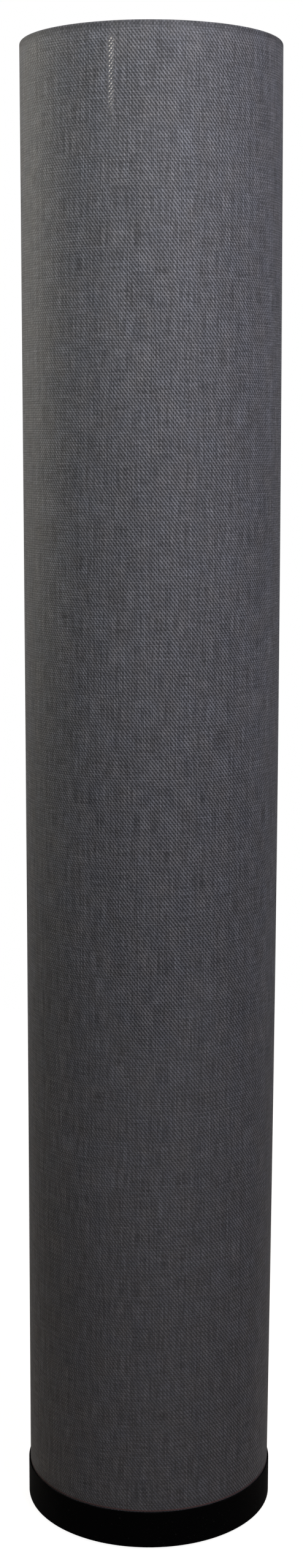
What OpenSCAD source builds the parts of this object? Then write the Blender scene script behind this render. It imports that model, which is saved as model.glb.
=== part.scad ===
// Column floor lamp: a tall fabric drum that stands down inside the rim of a round weighted base.
// A stem on the base carries two bulbs and, at its top, the wire frame that the drum hangs from.
// Millimetres, +Z up. The origin is on the floor under the centre of the base, and the back is +Y.

/* [Whole lamp] */
// Height from the floor to the top rim of the shade
lamp_h = 1200; // [1060:10:1400]

/* [Shade] */
// Outer radius of the fabric
shade_r = 102; // [98:0.5:120]
// Thickness of the fabric
fabric_t = 0.5; // [0.4:0.1:0.7]
// Thickness of the stiff film that backs the fabric
film_t = 0.4; // [0.3:0.1:0.6]
// Diameter of the wire of the top and bottom rings
ring_wire_d = 3.2; // [2.8:0.2:4]
// Diameter of the wire of the spokes
spoke_wire_d = 2.8; // [2.4:0.2:3.2]
// Number of spokes
spoke_count = 3; // [3:1:4]
// Radius at which the spokes leave the level of the top ring
spoke_bend_r = 84; // [60:1:88]
// Drop from the top ring's centre to the upper face of the hub
hub_drop = 17; // [16:1:40]
// Outer radius of the hub washer
hub_r = 18; // [17:1:24]
// Thickness of the hub washer
hub_t = 2; // [1.5:0.5:3]

/* [Finial] */
// Radius of the finial
finial_r = 13; // [10:0.5:14]
// Height of the finial
finial_h = 15; // [13:0.5:16]
// Height of the finial's straight part, below its dome
finial_straight_h = 6; // [4:0.5:8]
// Depth of the threaded hole in the finial
finial_bore_h = 10; // [7:0.5:11]

/* [Base] */
// Gap between the fabric and the rim of the base
rim_gap = 0.5; // [0.4:0.1:1.5]
// Wall of the rolled steel band
band_t = 0.9; // [0.8:0.1:1.5]
// Height of the band
band_h = 31; // [30:1:45]
// Height of the band's lower edge above the floor
band_lift = 2; // [1.5:0.5:3]
// Height that the rim stands above the deck
rim_h = 11; // [8:0.5:12]
// Thickness of the deck that is welded inside the band
deck_t = 1.5; // [1:0.25:2]
// Thickness of the bottom cover
cover_t = 1; // [0.8:0.1:1.5]
// Radius of each post under the deck
post_r = 4; // [3.5:0.25:4.5]
// Gap between each post and the band
post_gap = 2.5; // [2:0.25:4]
// Radius of the threaded hole in each post
post_bore_r = 2; // [1.5:0.25:2.25]
// Depth of the threaded hole in each post
post_bore_h = 12; // [11:0.5:14]
// Thickness of the cast weight
weight_t = 8.5; // [7:0.5:9]
// Gap between the weight and the posts
weight_gap = 2; // [1:0.5:6]
// Chamfer around the lower edge of the weight
weight_chamfer = 1.5; // [0.5:0.25:3]

/* [Feet and cover screws] */
// Height of each rubber foot
foot_h = 4; // [3.5:0.25:5]
// Radius of each rubber foot
foot_r = 9; // [7:0.5:12]
// Distance from the edge of the bottom cover to the edge of a foot
foot_inset = 13; // [12:1:30]
// Chamfer around the lower edge of each foot
foot_chamfer = 0.6; // [0.3:0.1:1]
// Length of a cover screw under its head
cover_screw_l = 9; // [6:0.5:10]
// Radius of a cover screw's head
screw_head_r = 4; // [3.5:0.25:5]
// Height of a cover screw's head
screw_head_h = 2.2; // [1.8:0.1:2.6]

/* [Cord inlet] */
// Radius of the hole in the band for the grommet
inlet_hole_r = 4.5; // [4.2:0.1:5]
// Radius of the grommet's bore
inlet_bore_r = 3.2; // [2.5:0.1:3.6]
// Radius of the grommet's flanges
inlet_flange_r = 6.5; // [5.5:0.1:7]
// Thickness of each flange of the grommet
inlet_flange_t = 1.5; // [1:0.1:2]

/* [Terminal block] */
// Width of the terminal block
block_w = 32; // [24:1:40]
// Depth of the terminal block, front to back
block_d = 18; // [14:1:22]
// Height of the terminal block
block_h = 12; // [10:0.5:13]
// Distance of the block's front face behind the stem's axis
block_y = 52; // [50:1:60]
// Distance between the two terminals
terminal_pitch = 10; // [8:0.5:14]
// Depth of each wire hole in the block
wire_hole_h = 6; // [4:0.5:6.5]
// Radius of a terminal screw
terminal_screw_r = 1.8; // [1.4:0.1:2.2]

/* [Threaded lamp tube and nuts] */
// Outer radius of the threaded lamp tube
thread_r = 4.9; // [4.6:0.1:5.2]
// Bore radius of the threaded lamp tube
thread_bore_r = 3.5; // [3.2:0.1:3.8]
// Width across the flats of the nut under the weight
base_nut_af = 17; // [15:0.5:19]
// Thickness of the nut under the weight
base_nut_t = 4; // [3:0.25:4.25]
// Outer radius of the washer under the weight
washer_r = 15; // [12:0.5:16]
// Thickness of the washer under the weight
washer_t = 1.2; // [0.8:0.1:1.5]
// Depth of the recess in the weight for the nut and washer
nut_recess_h = 4; // [3.75:0.25:5]

/* [Stem] */
// Outer radius of the stem tubes
stem_r = 8; // [7.5:0.5:9.5]
// Wall of the stem tubes
stem_wall = 1.5; // [1:0.25:1.75]
// Height above the floor of the upper end of the lower tube
stem_joint_z = 600; // [520:10:640]
// Length of the spigots that go into the tubes
spigot_l = 20; // [14:1:30]
// Radius of the flange of the stem foot
stem_flange_r = 24; // [18:1:30]
// Thickness of the flange of the stem foot
stem_flange_t = 5; // [3:0.5:8]
// Outer radius of the collar between the two tubes
coupler_r = 9.5; // [9:0.5:10.5]
// Height of the collar between the two tubes
coupler_h = 8; // [5:1:14]
// Bore radius of the coupler
coupler_bore_r = 4; // [3.5:0.25:4.5]
// Outer radius of the shoulder that the hub rests on
shoulder_r = 11; // [10:0.5:14]
// Thickness of that shoulder
shoulder_t = 4; // [3:0.5:8]

/* [Arms] */
// Height above the floor of the lower arm
lower_arm_z = 300; // [250:10:350]
// Height above the floor of the upper arm
upper_arm_z = 720; // [710:10:800]
// Distance of each bulb from the stem's axis
arm_reach = 46; // [44:1:52]
// Thickness of each arm
arm_t = 3; // [2:0.5:4]
// Width of each arm
arm_w = 16; // [12:1:20]
// Radius of the pad at the end of each arm
pad_r = 13; // [11:0.5:15]
// Outer radius of the collar that grips the stem
collar_r = 12; // [11:0.5:14]
// Height of the collar that grips the stem
collar_h = 14; // [10:1:20]
// Radius of the grub screw in each collar
grub_r = 1.95; // [1.5:0.05:2.4]

/* [Leads] */
// Radius of each lead
lead_r = 1.3; // [1:0.1:1.5]
// Bend radius of the leads
lead_bend_r = 5; // [4.5:0.25:5.5]
// Distance below an arm at which its lead leaves the stem
exit_drop = 24; // [22:1:34]
// Radius of the flange of a lead grommet
exit_flange_r = 4; // [3.5:0.1:5]

/* [Lampholders] */
// Outer radius of the lampholder
holder_r = 20; // [19:0.5:22]
// Wall of the lampholder
holder_wall = 2; // [1.5:0.25:2.25]
// Height of the lampholder's cap
cap_h = 22; // [20:1:28]
// Height of the lampholder's outer shell above its cap
shell_h = 32; // [30:1:34]
// Radius of the opening in the top of the shell
shell_mouth_r = 15; // [14.5:0.25:16]
// Height of the insulating core
core_h = 16; // [15:0.5:17]
// Inner radius of the brass thread shell
thread_shell_r = 13.4; // [13.3:0.1:13.8]
// Height of the brass thread shell
thread_shell_h = 22; // [16:1:24]
// Thickness of the brass sheet
brass_t = 0.5; // [0.4:0.1:0.7]
// Width across the flats of the nut under an arm
arm_nut_af = 14; // [13:0.5:16]
// Thickness of the nut under an arm
arm_nut_t = 3; // [2:0.5:4]

/* [Bulbs] */
// Radius of a bulb's screw cap
bulb_cap_r = 12.95; // [12.6:0.05:13.1]
// Height of a bulb's screw cap
bulb_cap_h = 22; // [20:1:23]
// Radius of a bulb's globe
globe_r = 30; // [27:0.5:33]
// Length of a bulb from its contact to the top of its globe
bulb_l = 110; // [106:1:122]
// Wall of a bulb's globe and body
bulb_wall = 1.2; // [0.8:0.1:1.8]
// Radius of a bulb's body where the globe sits on it
body_top_r = 24; // [22:0.5:26]

/* [Hidden] */
$fn = 96;

// Clearances, each one radial or from face to face
slip = 0.05;     // a pushed, threaded or welded fit
seat_gap = 0.3;  // neighbours that only come near each other
hole_gap = 0.4;  // a bolt or lead in its plain hole
cut = 1;         // how far a cutter runs past the face it opens
QUARTERS = [0, 90, 180, 270];
CORNERS = [45, 135, 225, 315];

// The base, from the floor up
deck_z = band_lift + band_h - rim_h;
deck_under = deck_z - deck_t;
weight_z = deck_under - weight_t;
cover_top = foot_h + cover_t;
band_in_r = shade_r + rim_gap;
band_out_r = band_in_r + band_t;
cover_r = band_in_r - seat_gap;
post_ring_r = band_in_r - post_gap - post_r;
weight_r = post_ring_r - post_r - weight_gap;
foot_ring_r = cover_r - foot_inset - foot_r;
clear_hole_r = thread_r + hole_gap;
recess_r = washer_r + 3;
washer_z = weight_z + nut_recess_h - washer_t;
base_nut_z = washer_z - base_nut_t;
nipple_end_z = base_nut_z - 0.5;
inlet_z = (cover_top + deck_under) / 2;
block_z = deck_under - block_h;
terminal_z = block_z + 5.5;
lead_run_z = nipple_end_z - lead_r - 1.5;
groove_w = 13;
pocket_y = block_y - 12;
pocket_w = block_w + 16;

// The stem, from the deck up
stem_in_r = stem_r - stem_wall;
spigot_r = stem_in_r - slip;
foot_top = deck_z + stem_flange_t;
foot_spigot_top = foot_top + spigot_l;
nipple_top_z = foot_spigot_top + 13;
upper_tube_z = stem_joint_z + coupler_h;
hem_in_r = ring_wire_d / 2 + slip;
hem_out_r = hem_in_r + fabric_t;
ring_r = shade_r - hem_out_r;
top_ring_z = lamp_h - hem_out_r;
shade_z = deck_z + seat_gap;
low_ring_z = shade_z + hem_out_r;
hub_top = top_ring_z - hub_drop;
hub_z = hub_top - hub_t;
stem_top = hub_z - shoulder_t;
stud_top = hub_top + finial_bore_h - 1;
film_out_r = shade_r - fabric_t - slip;
film_in_r = film_out_r - film_t;
spoke_r = spoke_wire_d / 2;
spoke_on_hub_z = hub_top + spoke_r - 0.3;
spoke_low_r = hub_r + 8;
spoke_end_r = finial_r + 1.5;

// The lampholder and its bulb, above the underside of their arm
cap_z = arm_t;
ledge_z = cap_z + 10;
cap_top = cap_z + cap_h;
shell_top = cap_top + shell_h;
shell_in_r = holder_r - holder_wall;
collar_in_r = shell_in_r - slip - 1.7;
core_r = collar_in_r - 0.2;
core_top = ledge_z + core_h;
contact_r = 3;
contact_h = 1.7;
tip_z = core_top + contact_h + seat_gap;
tip_r = 4.5;
bulb_cap_z = tip_z + 3.5;
body_z = bulb_cap_z + bulb_cap_h;
bulb_top = tip_z + bulb_l;
globe_z = bulb_top - globe_r;
body_top_z = globe_z - sqrt(pow(globe_r, 2) - pow(body_top_r, 2));
lead_x = lead_r + 0.3;
exit_bore_r = lead_r + 0.3;
exit_neck_r = exit_bore_r + 1;

// A tube standing on z
module pipe(r_out, r_in, z, h) {
    translate([0, 0, z]) difference() {
        cylinder(r = r_out, h = h);
        translate([0, 0, -cut]) cylinder(r = r_in, h = h + 2 * cut);
    }
}

// A cylinder along +X, from x0 to x1
module bar_x(r, x0, x1) {
    translate([x0, 0, 0]) rotate([0, 90, 0]) cylinder(r = r, h = x1 - x0);
}

// A cylinder along +Y, from y0 to y1
module bar_y(r, y0, y1) {
    translate([0, y0, 0]) rotate([-90, 0, 0]) cylinder(r = r, h = y1 - y0);
}

module around(angles, r) {
    for (a = angles) rotate([0, 0, a]) translate([r, 0, 0]) children();
}

function arc(x, z, r, from, to, steps) =
    [for (i = [0:steps]) let (a = from + (to - from) * i / steps) [x + r * cos(a), z + r * sin(a)]];

// ---- base ----

// Rolled strip with both of its edges rounded over
module base_band() {
    edge_r = band_t / 2;
    mid_r = band_in_r + edge_r;
    color("black") difference() {
        rotate_extrude() polygon(concat(
            arc(mid_r, band_lift + band_h - edge_r, edge_r, 0, 180, 6),
            arc(mid_r, band_lift + edge_r, edge_r, 180, 360, 6)));
        translate([0, 0, inlet_z]) bar_y(inlet_hole_r, band_in_r - 5, band_out_r + cut);
    }
}

module deck_plate() {
    color("black") pipe(band_in_r - slip, clear_hole_r, deck_under, deck_t);
}

module deck_posts() {
    color("gray") around(CORNERS, post_ring_r) difference() {
        translate([0, 0, cover_top]) cylinder(r = post_r, h = deck_under - cover_top);
        translate([0, 0, cover_top - cut]) cylinder(r = post_bore_r, h = post_bore_h + cut);
    }
}

// Cast disc with a recess for the nut, a groove for the leads and a pocket for the terminal block
module counterweight() {
    color("dimgray") difference() {
        rotate_extrude() polygon([[clear_hole_r, weight_z], [weight_r - weight_chamfer, weight_z],
            [weight_r, weight_z + weight_chamfer], [weight_r, deck_under], [clear_hole_r, deck_under]]);
        translate([0, 0, weight_z - cut]) cylinder(r = recess_r, h = nut_recess_h + cut);
        translate([-groove_w / 2, 0, weight_z - cut]) cube([groove_w, pocket_y + cut, nut_recess_h + cut]);
        translate([-pocket_w / 2, pocket_y, weight_z - cut])
            cube([pocket_w, weight_r, weight_t + 2 * cut]);
    }
}

module bottom_cover() {
    color("black") difference() {
        translate([0, 0, foot_h]) cylinder(r = cover_r, h = cover_t);
        around(CORNERS, post_ring_r) translate([0, 0, foot_h - cut])
            cylinder(r = post_bore_r + seat_gap, h = cover_t + 2 * cut);
    }
}

module cover_screws() {
    socket_r = screw_head_r * 0.4;
    color("silver") around(CORNERS, post_ring_r) difference() {
        union() {
            translate([0, 0, foot_h - screw_head_h]) cylinder(r = screw_head_r, h = screw_head_h);
            translate([0, 0, foot_h - slip]) cylinder(r = post_bore_r - slip, h = cover_screw_l + slip);
        }
        translate([0, 0, foot_h - screw_head_h - cut])
            cylinder(r = socket_r, h = screw_head_h * 0.6 + cut, $fn = 6);
    }
}

module rubber_feet() {
    color("#202020") around(QUARTERS, foot_ring_r) rotate_extrude()
        polygon([[0, 0], [foot_r - foot_chamfer, 0], [foot_r, foot_chamfer], [foot_r, foot_h],
            [0, foot_h]]);
}

module weight_washer() {
    color("silver") pipe(washer_r, thread_r + seat_gap, washer_z, washer_t);
}

module hex_nut(flats, h, z) {
    translate([0, 0, z]) difference() {
        cylinder(r = flats / 2 / cos(30), h = h, $fn = 6);
        translate([0, 0, -cut]) cylinder(r = thread_r + slip, h = h + 2 * cut);
    }
}

module weight_nut() {
    color("silver") hex_nut(base_nut_af, base_nut_t, base_nut_z);
}

module base_nipple() {
    color("silver") pipe(thread_r, thread_bore_r, nipple_end_z, nipple_top_z - nipple_end_z);
}

// Flanged bush that grips the curved wall of the band
module cord_grommet() {
    color("#181818") translate([0, 0, inlet_z]) difference() {
        union() {
            difference() {
                bar_y(inlet_flange_r, band_in_r - inlet_flange_t, band_out_r + inlet_flange_t);
                pipe(band_out_r + slip, band_in_r - slip, -inlet_flange_r - cut,
                    2 * (inlet_flange_r + cut));
            }
            bar_y(inlet_hole_r - slip, band_in_r - cut, band_out_r + cut);
        }
        bar_y(inlet_bore_r, band_in_r - inlet_flange_t - cut, band_out_r + inlet_flange_t + cut);
    }
}

module terminal_block() {
    far_y = block_y + block_d;
    wire_r = lead_r + seat_gap;
    color("white") difference() {
        translate([-block_w / 2, block_y, block_z]) cube([block_w, block_d, block_h]);
        for (x = [-1, 1]) translate([x * terminal_pitch / 2, 0, terminal_z]) {
            bar_y(wire_r, block_y - cut, block_y + wire_hole_h);
            bar_y(wire_r, far_y - wire_hole_h, far_y + cut);
        }
        terminal_places() translate([0, 0, -cut]) cylinder(r = terminal_screw_r + slip, h = 2 + cut);
    }
}

module terminal_places() {
    inset = 4.5;
    for (x = [-1, 1], y = [block_y + inset, block_y + block_d - inset])
        translate([x * terminal_pitch / 2, y, block_z]) children();
}

module terminal_screws() {
    proud = 0.8;
    color("silver") terminal_places() translate([0, 0, -proud])
        cylinder(r = terminal_screw_r, h = 2 + proud);
}

// ---- stem ----

module stem_foot() {
    bevel = 1;
    color("dimgray") rotate_extrude() polygon([[thread_r + slip, deck_z], [stem_flange_r, deck_z],
        [stem_flange_r, foot_top - bevel], [stem_flange_r - bevel, foot_top], [spigot_r, foot_top],
        [spigot_r, foot_spigot_top], [thread_r + slip, foot_spigot_top]]);
}

module stem_tube(z, h, side, arm_z) {
    color("silver") difference() {
        pipe(stem_r, stem_in_r, z, h);
        translate([0, 0, arm_z - exit_drop]) mirror([side < 0 ? 1 : 0, 0, 0])
            bar_x(exit_neck_r + slip, 2, stem_r + cut);
    }
}

module stem_lower() stem_tube(foot_top, stem_joint_z - foot_top, 1, lower_arm_z);
module stem_upper() stem_tube(upper_tube_z, stem_top - upper_tube_z, -1, upper_arm_z);

module stem_coupler() {
    low = stem_joint_z - spigot_l;
    high = upper_tube_z + spigot_l;
    color("dimgray") rotate_extrude() polygon([[coupler_bore_r, low], [spigot_r, low],
        [spigot_r, stem_joint_z], [coupler_r, stem_joint_z], [coupler_r, upper_tube_z],
        [spigot_r, upper_tube_z], [spigot_r, high], [coupler_bore_r, high]]);
}

// Plug in the top of the stem, with the shoulder for the hub and the stud for the finial
module shade_stud() {
    lead_in = 0.8;
    color("silver") rotate_extrude() polygon([[0, stem_top - spigot_l], [spigot_r, stem_top - spigot_l],
        [spigot_r, stem_top], [shoulder_r, stem_top], [shoulder_r, hub_z], [thread_r, hub_z],
        [thread_r, stud_top - lead_in], [thread_r - lead_in, stud_top], [0, stud_top]]);
}

// Collar, arm and pad in one piece; the pad takes the threaded tube of the lampholder
module bracket(side, arm_z) {
    collar_z = (arm_t - collar_h) / 2;
    color("dimgray") translate([0, 0, arm_z]) mirror([side < 0 ? 1 : 0, 0, 0]) difference() {
        union() {
            translate([0, 0, collar_z]) cylinder(r = collar_r, h = collar_h);
            translate([stem_r, -arm_w / 2, 0]) cube([arm_reach - stem_r, arm_w, arm_t]);
            translate([arm_reach, 0, 0]) cylinder(r = pad_r, h = arm_t);
        }
        translate([0, 0, collar_z - cut]) cylinder(r = stem_r + slip, h = collar_h + 2 * cut);
        translate([arm_reach, 0, -cut]) cylinder(r = clear_hole_r, h = arm_t + 2 * cut);
        translate([0, 0, arm_t / 2]) bar_x(grub_r + slip, -collar_r - cut, 0);
    }
}

module bracket_lower() bracket(1, lower_arm_z);
module bracket_upper() bracket(-1, upper_arm_z);

module grub_screw(side, arm_z) {
    outer = collar_r + 0.6;
    translate([0, 0, arm_z + arm_t / 2]) mirror([side < 0 ? 1 : 0, 0, 0]) difference() {
        bar_x(grub_r, -outer, -stem_r - slip);
        translate([-outer - cut, 0, 0]) rotate([0, 90, 0])
            cylinder(r = grub_r / 2, h = 2 + cut, $fn = 6);
    }
}

module grub_screws() {
    color("#303030") {
        grub_screw(1, lower_arm_z);
        grub_screw(-1, upper_arm_z);
    }
}

// Bush that lines the hole where a lead leaves the stem
module lead_grommet(side, arm_z) {
    translate([0, 0, arm_z - exit_drop]) mirror([side < 0 ? 1 : 0, 0, 0]) difference() {
        union() {
            difference() {
                bar_x(exit_flange_r, stem_r - 1.5, stem_r + 1.2);
                translate([0, 0, -exit_flange_r - cut])
                    cylinder(r = stem_r + slip, h = 2 * (exit_flange_r + cut));
            }
            bar_x(exit_neck_r, stem_in_r + 0.2, stem_r + 1);
        }
        bar_x(exit_bore_r, stem_in_r - cut, stem_r + 1.2 + cut);
    }
}

module lead_grommets() {
    color("#181818") {
        lead_grommet(1, lower_arm_z);
        lead_grommet(-1, upper_arm_z);
    }
}

// ---- leads ----

function unit(v) = v / norm(v);
function heading(p, i) = unit(p[min(i + 1, len(p) - 1)] - p[max(i - 1, 0)]);
function loop_at(p, i, r, n) = let (t = heading(p, i), u = unit(cross(t, [1, 1, 0])), v = cross(t, u))
    [for (k = [0:n - 1]) p[i] + r * (cos(360 * k / n) * u + sin(360 * k / n) * v)];

module tube_along(p, r, n) {
    last = len(p) - 1;
    sides = [for (i = [0:last - 1], k = [0:n - 1]) let (a = i * n + k, b = i * n + (k + 1) % n)
        each [[a, b + n, b], [a, a + n, b + n]]];
    near_end = [for (k = [1:n - 2]) [0, k, k + 1]];
    far_end = [for (k = [1:n - 2]) [last * n, last * n + k + 1, last * n + k]];
    polyhedron([for (i = [0:last]) each loop_at(p, i, r, n)], concat(near_end, sides, far_end));
}

// From the terminal block, under the nut, up the stem, out of its side and up into the lampholder
function lead_path(side, arm_z) = let (
    x_in = side * lead_x,
    x_end = side * terminal_pitch / 2,
    ramp_from = block_y - 3,
    ramp_to = recess_r + 6,
    turn_z = lead_run_z + lead_bend_r,
    exit_z = arm_z - exit_drop,
    up_turn = arc(lead_bend_r, turn_z, lead_bend_r, 270, 180, 5),
    out_turn = arc(lead_x + lead_bend_r, exit_z - lead_bend_r, lead_bend_r, 180, 90, 5),
    rise_turn = arc(arm_reach - lead_bend_r, exit_z + lead_bend_r, lead_bend_r, 270, 360, 5))
    concat(
        [[x_end, block_y + wire_hole_h, terminal_z]],
        [for (i = [0:6]) let (t = i / 6, s = (1 - cos(180 * t)) / 2)
            [x_end + (x_in - x_end) * s, ramp_from + (ramp_to - ramp_from) * t,
                terminal_z + (lead_run_z - terminal_z) * s]],
        [for (q = up_turn) [x_in, q[0], q[1]]],
        [for (q = out_turn) [side * q[0], 0, q[1]]],
        [for (q = rise_turn) [side * q[0], 0, q[1]]],
        [[side * arm_reach, 0, arm_z + ledge_z]]);

module lead_lower() color("white") tube_along(lead_path(1, lower_arm_z), lead_r, 8);
module lead_upper() color("white") tube_along(lead_path(-1, upper_arm_z), lead_r, 8);

// ---- lampholders ----

module at_arm(which) {
    translate(which == "lower" ? [arm_reach, 0, lower_arm_z] : [-arm_reach, 0, upper_arm_z]) children();
}

module holder_nipple(which) {
    below = arm_nut_t + 5;
    color("silver") at_arm(which) pipe(thread_r, thread_bore_r, -below, below + ledge_z - 2);
}

module holder_nut(which) {
    color("silver") at_arm(which) hex_nut(arm_nut_af, arm_nut_t, -arm_nut_t);
}

// Domed cap with the threaded neck below and a ledge inside for the core
module holder_cap(which) {
    neck_r = thread_r + slip;
    room_r = 12;
    color("#202020") at_arm(which) rotate_extrude() polygon(concat(
        [[neck_r, cap_z], [holder_r - 6, cap_z]],
        arc(holder_r - 6, ledge_z, 6, 315, 360, 4),
        [[holder_r, cap_top], [shell_in_r, cap_top], [shell_in_r, ledge_z], [room_r, ledge_z],
            [room_r, cap_z + 6], [neck_r, cap_z + 6]]));
}

module holder_core(which) {
    color("ivory") at_arm(which) translate([0, 0, ledge_z]) cylinder(r = core_r, h = core_h);
}

// Outer shell: its thin collar screws down inside the cap, and its mouth leaves room for the bulb
module holder_shell(which) {
    skirt = 10;
    color("#202020") at_arm(which) rotate_extrude() polygon([
        [collar_in_r, cap_top - skirt], [shell_in_r - slip, cap_top - skirt],
        [shell_in_r - slip, cap_top], [holder_r, cap_top], [holder_r, shell_top],
        [shell_mouth_r, shell_top], [shell_mouth_r, shell_top - holder_wall],
        [shell_in_r, shell_top - holder_wall], [shell_in_r, cap_top + 4], [collar_in_r, cap_top + 4]]);
}

module thread_shell(which) {
    color("goldenrod") at_arm(which) translate([0, 0, core_top]) rotate_extrude() polygon([
        [contact_r + 3, 0], [thread_shell_r + brass_t, 0], [thread_shell_r + brass_t, thread_shell_h],
        [thread_shell_r, thread_shell_h], [thread_shell_r, brass_t], [contact_r + 3, brass_t]]);
}

module centre_contact(which) {
    color("goldenrod") at_arm(which) translate([0, 0, core_top]) cylinder(r = contact_r, h = contact_h);
}

// ---- bulbs ----

// Opal globe, open below where it sits on the body
module bulb_globe(which) {
    start = asin(-(globe_z - body_top_z) / globe_r);
    inner_r = globe_r - bulb_wall;
    color("white") at_arm(which) rotate_extrude() polygon(concat(
        arc(0, globe_z, globe_r, start, 90, 24),
        arc(0, globe_z, inner_r, 90, start, 24)));
}

// Plastic body that flares from the screw cap to the globe
module bulb_body(which) {
    neck_r = bulb_cap_r - 0.4;
    neck_top = body_z + 8;
    rim_z = body_top_z - slip;
    color("white") at_arm(which) rotate_extrude() polygon([
        [neck_r - bulb_wall, body_z], [neck_r, body_z], [neck_r, neck_top], [body_top_r, rim_z],
        [body_top_r - 2 * bulb_wall, rim_z], [neck_r - bulb_wall, neck_top + bulb_wall]]);
}

// Aluminium disc that carries the light-emitting chips, on the body's upper rim
module bulb_board(which) {
    color("white") at_arm(which) translate([0, 0, body_top_z - slip])
        cylinder(r = body_top_r - 2 * bulb_wall, h = 1.6);
}

module bulb_cap(which) {
    color("silver") at_arm(which) rotate_extrude() polygon([
        [0, bulb_cap_z], [tip_r + 3, bulb_cap_z], [bulb_cap_r, bulb_cap_z + 3], [bulb_cap_r, body_z],
        [bulb_cap_r - brass_t, body_z], [bulb_cap_r - brass_t, bulb_cap_z + 3.5], [0, bulb_cap_z + 3.5]]);
}

// Solder contact on its dark insulator
module bulb_tip(which) {
    color("dimgray") at_arm(which) rotate_extrude() polygon([[0, tip_z], [tip_r - 1, tip_z],
        [tip_r, tip_z + 1], [tip_r + 2.5, bulb_cap_z], [0, bulb_cap_z]]);
}

// ---- shade ----

// Fabric sleeve, rolled over the ring wire at both ends, with the turned-in edge slit at each spoke
module shade_fabric() {
    slit_r = spoke_r + hole_gap;
    slit_depth = hem_out_r + cut + hole_gap;
    color("#5a5a60") difference() {
        rotate_extrude($fn = 180) polygon(concat(
            arc(ring_r, low_ring_z, hem_out_r, -270, 0, 18), arc(ring_r, top_ring_z, hem_out_r, 0, 270, 18),
            arc(ring_r, top_ring_z, hem_in_r, 270, 0, 18), arc(ring_r, low_ring_z, hem_in_r, 0, -270, 18)));
        for (a = spoke_angles()) rotate([0, 0, a])
            translate([ring_r - hem_out_r - cut, -slit_r, top_ring_z - hem_out_r - cut])
                cube([slit_depth, 2 * slit_r, hem_out_r + cut + slit_r]);
    }
}

// Film between the two rings, ending where the wire starts
module shade_film() {
    wire_r = ring_wire_d / 2;
    reach = sqrt(max(0, pow(wire_r, 2) - pow(film_in_r - ring_r, 2))) + 0.25;
    color("white") pipe(film_out_r, film_in_r, low_ring_z + reach, top_ring_z - low_ring_z - 2 * reach);
}

function spoke_angles() = [for (i = [0:spoke_count - 1]) 90 + 360 * i / spoke_count];

module ring_wire(z) {
    rotate_extrude($fn = 180) translate([ring_r, z]) circle(r = ring_wire_d / 2, $fn = 24);
}

// Straight length of spoke wire between two points of the plane through the axis
module spoke_wire(from, to) {
    run = to - from;
    translate([from[0], 0, from[1]]) rotate([0, 90 - atan2(run[1], run[0]), 0])
        cylinder(r = spoke_r, h = norm(run), $fn = 24);
}

// Ring, spokes and hub, welded into one frame
module top_frame() {
    high = [spoke_bend_r, top_ring_z];
    low = [spoke_low_r, spoke_on_hub_z];
    color("silver") {
        union() {
            ring_wire(top_ring_z);
            pipe(hub_r, clear_hole_r, hub_z, hub_t);
            for (a = spoke_angles()) rotate([0, 0, a]) {
                spoke_wire([ring_r, top_ring_z], high);
                spoke_wire(high, low);
                spoke_wire(low, [spoke_end_r, spoke_on_hub_z]);
                for (p = [high, low]) translate([p[0], 0, p[1]]) sphere(r = spoke_r + 0.1, $fn = 24);
            }
        }
    }
}

module bottom_ring() {
    color("silver") ring_wire(low_ring_z);
}

// Turned knob that screws down on the stud and holds the hub to its shoulder
module finial() {
    bevel = 0.8;
    color("silver") translate([0, 0, hub_top]) rotate_extrude() polygon(concat(
        [[thread_r + slip, 0], [finial_r - bevel, 0], [finial_r, bevel]],
        [for (p = arc(0, 0, 1, 0, 90, 8))
            [finial_r * p[0], finial_straight_h + (finial_h - finial_straight_h) * p[1]]],
        [[0, finial_bore_h], [thread_r + slip, finial_bore_h]]));
}

base_band();
deck_plate();
deck_posts();
counterweight();
bottom_cover();
cover_screws();
rubber_feet();
weight_washer();
weight_nut();
base_nipple();
cord_grommet();
terminal_block();
terminal_screws();
stem_foot();
stem_lower();
stem_coupler();
stem_upper();
shade_stud();
bracket_lower();
bracket_upper();
grub_screws();
lead_grommets();
lead_lower();
lead_upper();
holder_nipple("lower");  // holder_nipple_lower
holder_nut("lower");  // holder_nut_lower
holder_cap("lower");  // holder_cap_lower
holder_core("lower");  // holder_core_lower
holder_shell("lower");  // holder_shell_lower
thread_shell("lower");  // thread_shell_lower
centre_contact("lower");  // centre_contact_lower
holder_nipple("upper");  // holder_nipple_upper
holder_nut("upper");  // holder_nut_upper
holder_cap("upper");  // holder_cap_upper
holder_core("upper");  // holder_core_upper
holder_shell("upper");  // holder_shell_upper
thread_shell("upper");  // thread_shell_upper
centre_contact("upper");  // centre_contact_upper
bulb_globe("lower");  // bulb_globe_lower
bulb_body("lower");  // bulb_body_lower
bulb_board("lower");  // bulb_board_lower
bulb_cap("lower");  // bulb_cap_lower
bulb_tip("lower");  // bulb_tip_lower
bulb_globe("upper");  // bulb_globe_upper
bulb_body("upper");  // bulb_body_upper
bulb_board("upper");  // bulb_board_upper
bulb_cap("upper");  // bulb_cap_upper
bulb_tip("upper");  // bulb_tip_upper
shade_fabric();
shade_film();
top_frame();
bottom_ring();
finial();
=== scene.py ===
import math

import bmesh
import bpy
import numpy as np
from mathutils import Matrix, Vector


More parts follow.
